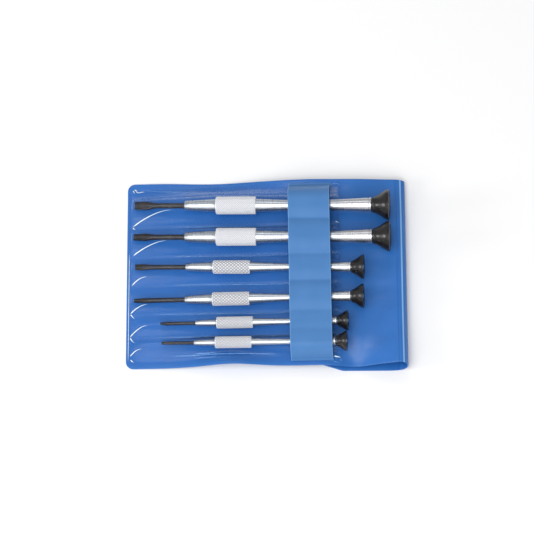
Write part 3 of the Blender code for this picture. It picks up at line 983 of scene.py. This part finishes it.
def make_creases():
    # Painted highlights: near-white, nearly opaque film along the creases, the glints and the left border
    bright = film_highlight_paint("film_creased_white", (0.84, 0.98, 1.0), 0.75, 1.0)
    # The long lines and spot-weld outlines in faint light blue: partly the welds' own marks, partly painted
    # sheen
    faint = film_highlight_paint("film_seam", (0.2, 0.48, 0.95), 0.1, 0.5)
    paths = [(crease_path(crease, 30, 2.2), RISING_HALF_WIDTH, True) for crease in RISING_CREASES]
    paths += [(crease_path(crease, 8, 1.4), SHORT_HALF_WIDTH, True) for crease in SHORT_CREASES]
    paths.append((crease_path(BORDER_CREASE, 60), BORDER_HALF_WIDTH, False))
    ridges("film_creases", paths, bright)
    paths = [(crease_path(crease, 40), LONG_HALF_WIDTH, False) for crease in LONG_CREASES]
    sides = []
    length, half = (v * MM for v in SPOT_WELD)
    for y in WELDS_Y:
        middle = max(-FILM_HALF_WIDTH + half, min(FILM_HALF_WIDTH - half, y - SPOT_OFFSET))
        start, end = FILM_END - length - SPOT_MARGIN, FILM_END - SPOT_MARGIN
        sides += box_paths(start, end, middle - half, middle + half)
    s, y, half_length, half = (v * MM for v in BOTTOM_SPOT)
    sides += box_paths(s - half_length, s + half_length, y - half, y + half)
    paths += [(side, SPOT_LINE_HALF_WIDTH, False) for side in sides]
    ridges("film_seams", paths, faint)


def make_film(colour):
    stations = spread(FILM_START, 1.6 * MM, 3) + spread(1.6 * MM, 4.0 * MM, 12)[1:]
    stations += spread(4.0 * MM, 22 * MM, 36)[1:] + spread(22 * MM, FILM_END, 44)[1:]
    film = slab("pocket_film_clear", [film_row(s) for s in stations], FILM, colour, even=False)
    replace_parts(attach(film, "pouch"), "pocket_film")


def strap_height(y, crowns):
    """Underside of the strap over y: pulled tight from driver to driver, with a shallow dip between them."""
    heights = []
    for centre_y, crown in crowns:
        beside = max(0.0, abs(y - centre_y) - STRAP_FLAT)
        heights.append(crown - STRAP_SAG * beside**2)
    top = max(heights)
    return top + STRAP_ROUNDING * math.log(sum(math.exp((h - top) / STRAP_ROUNDING) for h in heights))


def strap_row(s):
    tab = FILM_LIFT + FILM + 0.05 * MM
    crowns = []
    for number in range(1, 7):
        y, z, along = axis_in_section(number, s)
        radius = clear_radius(DRIVERS[number - 1], along)
        crowns.append((y, z + radius + FILM + STRAP_CLEARANCE))
    shoulders = (crowns[-1][0] - STRAP_SHOULDERS[0], crowns[0][0] + STRAP_SHOULDERS[1])
    row = [(y, tab) for y in spread(-STRAP_HALF_WIDTH, -STRAP_HALF_WIDTH + STRAP_TAB, 2)]
    row += strap_slope(-STRAP_HALF_WIDTH + STRAP_TAB, shoulders[0], tab, strap_height(shoulders[0], crowns))
    row += [(y, strap_height(y, crowns)) for y in spread(*shoulders, 110)]
    slope = strap_slope(STRAP_HALF_WIDTH - STRAP_TAB, shoulders[1], tab, strap_height(shoulders[1], crowns))
    row += slope[::-1]
    row += [(y, tab) for y in spread(STRAP_HALF_WIDTH - STRAP_TAB, STRAP_HALF_WIDTH, 2)]
    return [on_sheet(s - STRAP_SLANT * y, y, h) for y, h in row]


def strap_slope(foot, shoulder, low, high):
    """The strap's run from its weld up over the outermost screwdriver, rounding off evenly."""
    shares = spread(0.0, 1.0, 22)[1:-1]
    return [(mix(foot, shoulder, t), mix(high, low, (1 - t) ** STRAP_SLOPE_POWER)) for t in shares]


def make_strap(colour):
    inner = spread(STRAP_START + STRAP_PALE_EDGE, STRAP_END - STRAP_PALE_EDGE, 14)
    rows = [strap_row(s) for s in [STRAP_START] + inner + [STRAP_END]]
    # Painted highlight along the strap's two cut edges
    pale = [STRAP_PALENESS] + [0.0] * len(inner) + [STRAP_PALENESS]
    strap = slab("strap_band", rows, SHEET, colour, edge=RIM_ROUNDING, whitening=pale)
    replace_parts(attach(strap, "pouch"), "holding_strap")


# Camera, light and floor


def aim(item, target):
    item.rotation_euler = (Vector(target) - item.location).to_track_quat("-Z", "Y").to_euler()


def make_camera():
    camera = bpy.data.objects.new("camera", bpy.data.cameras.new("camera"))
    bpy.context.collection.objects.link(camera)
    towards = Vector((0, -math.cos(CAMERA_ELEVATION), math.sin(CAMERA_ELEVATION)))
    camera.location = CAMERA_TARGET + CAMERA_DISTANCE * towards
    aim(camera, CAMERA_TARGET)
    camera.rotation_euler.rotate_axis("Z", CAMERA_ROLL)
    camera.data.sensor_width = SENSOR_WIDTH
    camera.data.lens = SENSOR_WIDTH * CAMERA_DISTANCE / VIEW_WIDTH
    bpy.context.scene.camera = camera


def softbox(name, place, size, power):
    """A soft lamp aimed at the middle of the wallet."""
    lamp = bpy.data.lights.new(name, "AREA")
    lamp.shape = "RECTANGLE"
    lamp.size, lamp.size_y = size
    lamp.energy = power
    item = bpy.data.objects.new(name, lamp)
    bpy.context.collection.objects.link(item)
    item.location = place
    aim(item, (0, 0, 0))


def make_studio():
    softbox("top_light", (-0.25, -0.35, 1.1), (0.9, 0.6), 6.2)
    softbox("front_light", (-0.2, -0.85, 0.85), (1.6, 0.6), 5.8)
    softbox("back_light", (-0.1, 0.72, 0.88), (0.3, 0.2), 0.7)
    softbox("side_light", (-0.91, -0.14, 0.38), (0.25, 0.25), 2.0)
    world = bpy.data.worlds.new("studio")
    world.use_nodes = True
    background = world.node_tree.nodes["Background"]
    background.inputs["Color"].default_value = (0.98, 0.985, 1.0, 1.0)
    background.inputs["Strength"].default_value = 0.5
    bpy.context.scene.world = world
    bpy.context.scene.view_settings.view_transform = "Standard"
    made, tree, shader = new_material("floor_white", (0.9, 0.9, 0.9), 0.9)
    half = FLOOR_HALF
    corners = [(-half, -half, 0), (half, -half, 0), (half, half, 0), (-half, half, 0)]
    floor = mesh_object("floor", corners, [(0, 1, 2, 3)], [made])
    floor.location.z = -FLOOR_DROP


def main():
    colours = {
        "aluminium": turned_metal(
            "turned_aluminium",
            light=(0.6, 0.605, 0.62),
            dark=(0.53, 0.535, 0.56),
            roughness=0.3,
            groove=0.16 * MM,
        ),
        "knurl": knurled_metal(
            "knurled_aluminium",
            light=(0.96, 0.925, 0.92),
            dark=(0.9, 0.865, 0.865),
            # the painted shade at the bottoms of the knurl's valleys
            groove=(0.34, 0.32, 0.32),
        ),
        "blackened": blackened_steel("blackened_steel"),
        "steel": turned_metal("bright_steel", (0.66, 0.66, 0.67), (0.55, 0.55, 0.57), 0.3, 0.1 * MM),
        "cap": black_plastic("black_plastic"),
    }
    make_camera()
    make_studio()
    make_sheet(pvc("blue_pvc_sheet", (0.018, 0.142, 0.47), (0.015, 0.13, 0.435), 0.4, 0.5))
    make_film(clear_film("clear_pvc_film"))
    make_creases()
    make_strap(pvc("blue_pvc_strap", (0.078, 0.21, 0.465), (0.07, 0.195, 0.44), 0.38, 0.1))
    for number, spec in enumerate(DRIVERS, start=1):
        matrix = driver_axis(number)
        make_handle(number, spec[0], colours, matrix)
        make_cap(number, spec[0], colours, matrix)
        make_pin(number, spec[0], colours, matrix)
        make_blade(number, spec, colours, matrix)


main()
